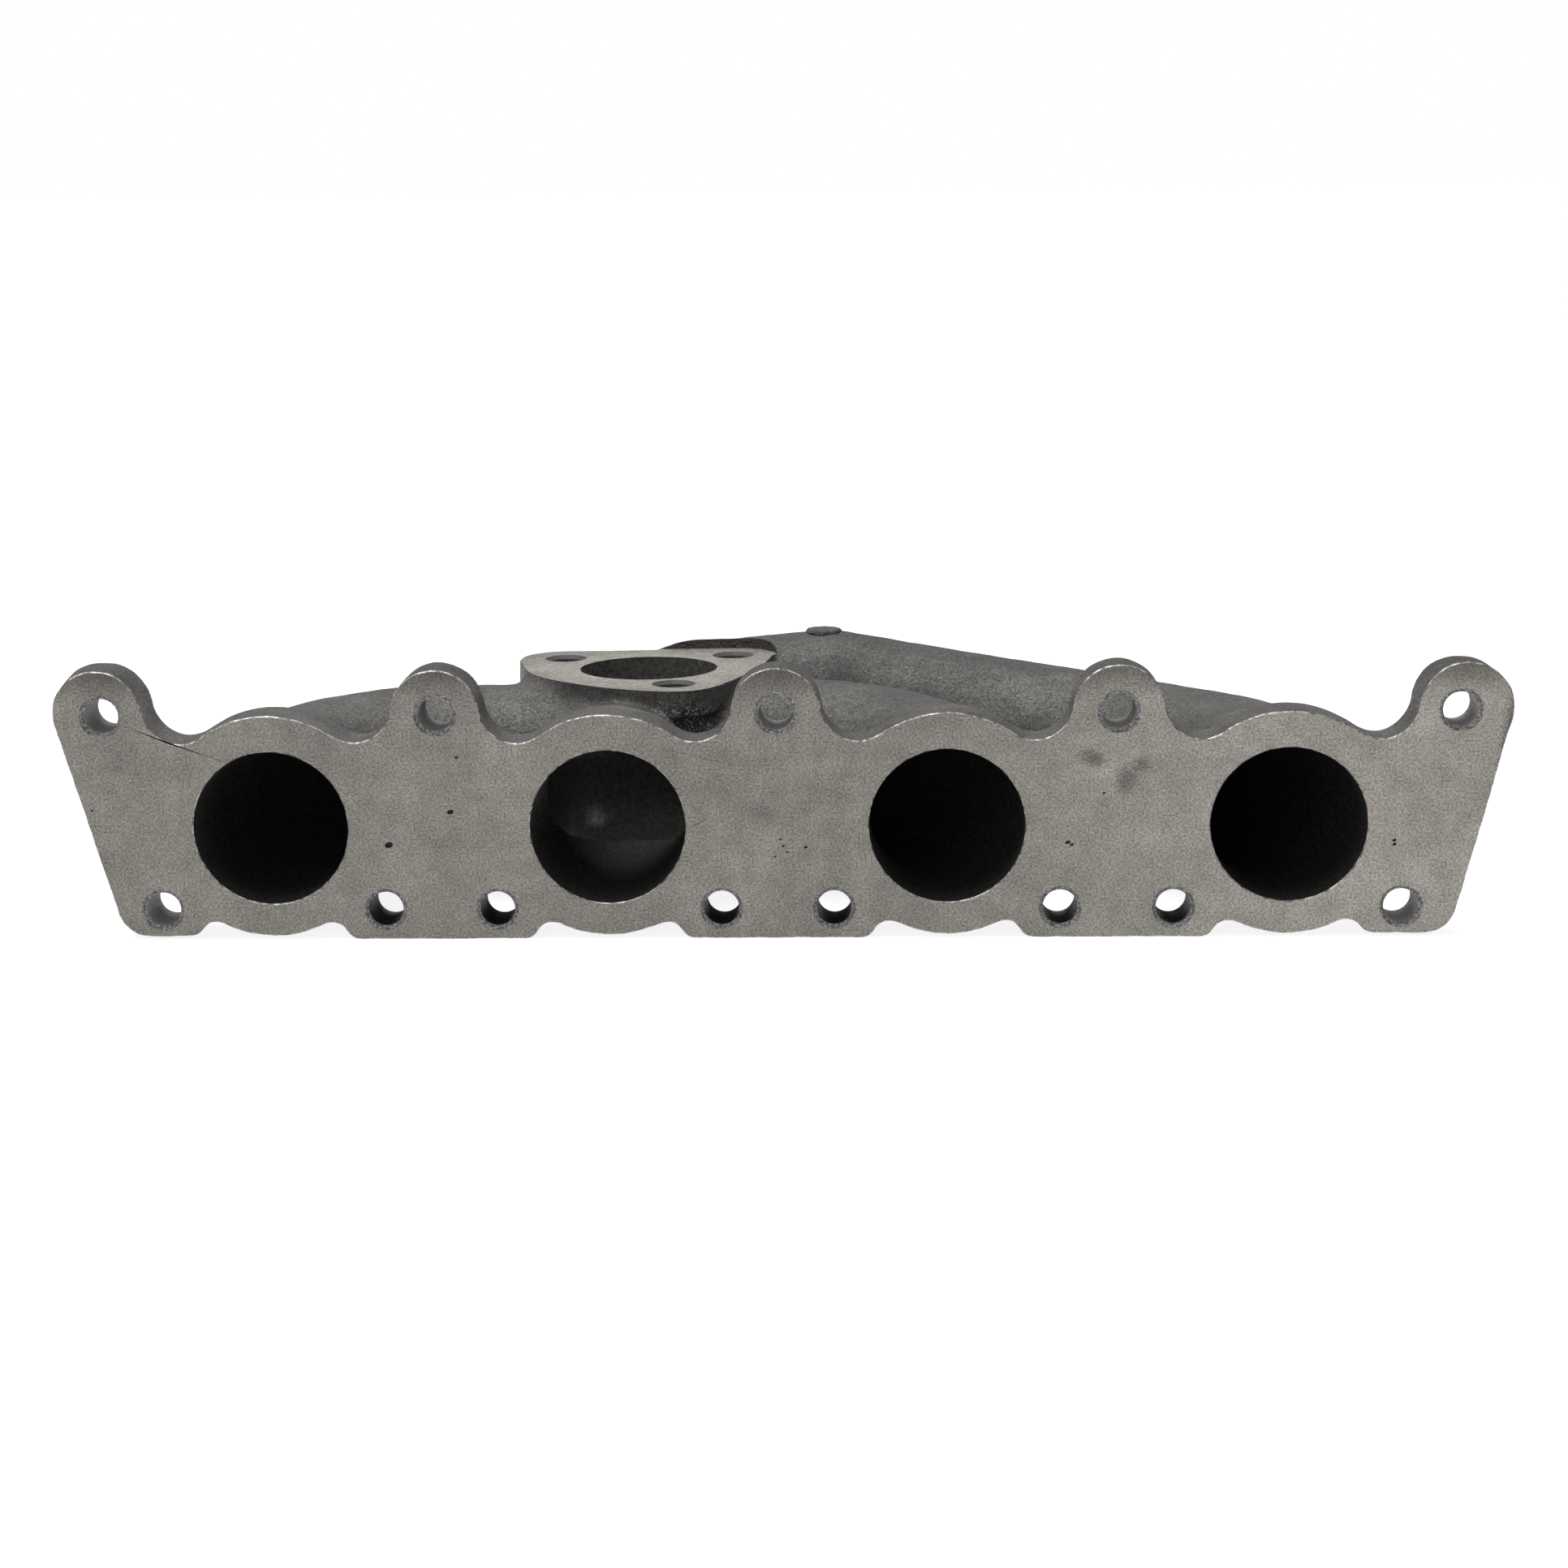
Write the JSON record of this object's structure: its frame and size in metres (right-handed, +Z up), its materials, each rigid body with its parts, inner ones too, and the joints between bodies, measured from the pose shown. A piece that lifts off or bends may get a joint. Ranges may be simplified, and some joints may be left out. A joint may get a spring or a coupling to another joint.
{
  "type": "exhaust manifold",
  "caption": "Cast iron exhaust manifold: wavy head flange with round ports, curved runners, a collector, a triangular wastegate flange and a turbo flange.",
  "frame": {"origin": "centre of the machined head flange face, midway between the two middle ports on the port centre line", "axes": "+X along the row of ports, +Y away from the cylinder head, +Z up"},
  "size_m": [0.3758, 0.1328, 0.0719],
  "materials": {
    "cast_iron": "rough sand-cast skin",
    "milled_iron": "machined faces, satin, with fine pores"
  },
  "bodies": {
    "root": {"head_flange": "milled_iron", "runner_1": "cast_iron", "runner_2": "cast_iron", "runner_3": "cast_iron", "runner_4": "cast_iron", "collector": "cast_iron", "wastegate_flange": "milled_iron", "turbo_flange": "milled_iron", "runner_pad": "cast_iron"}
  },
  "joints": []
}
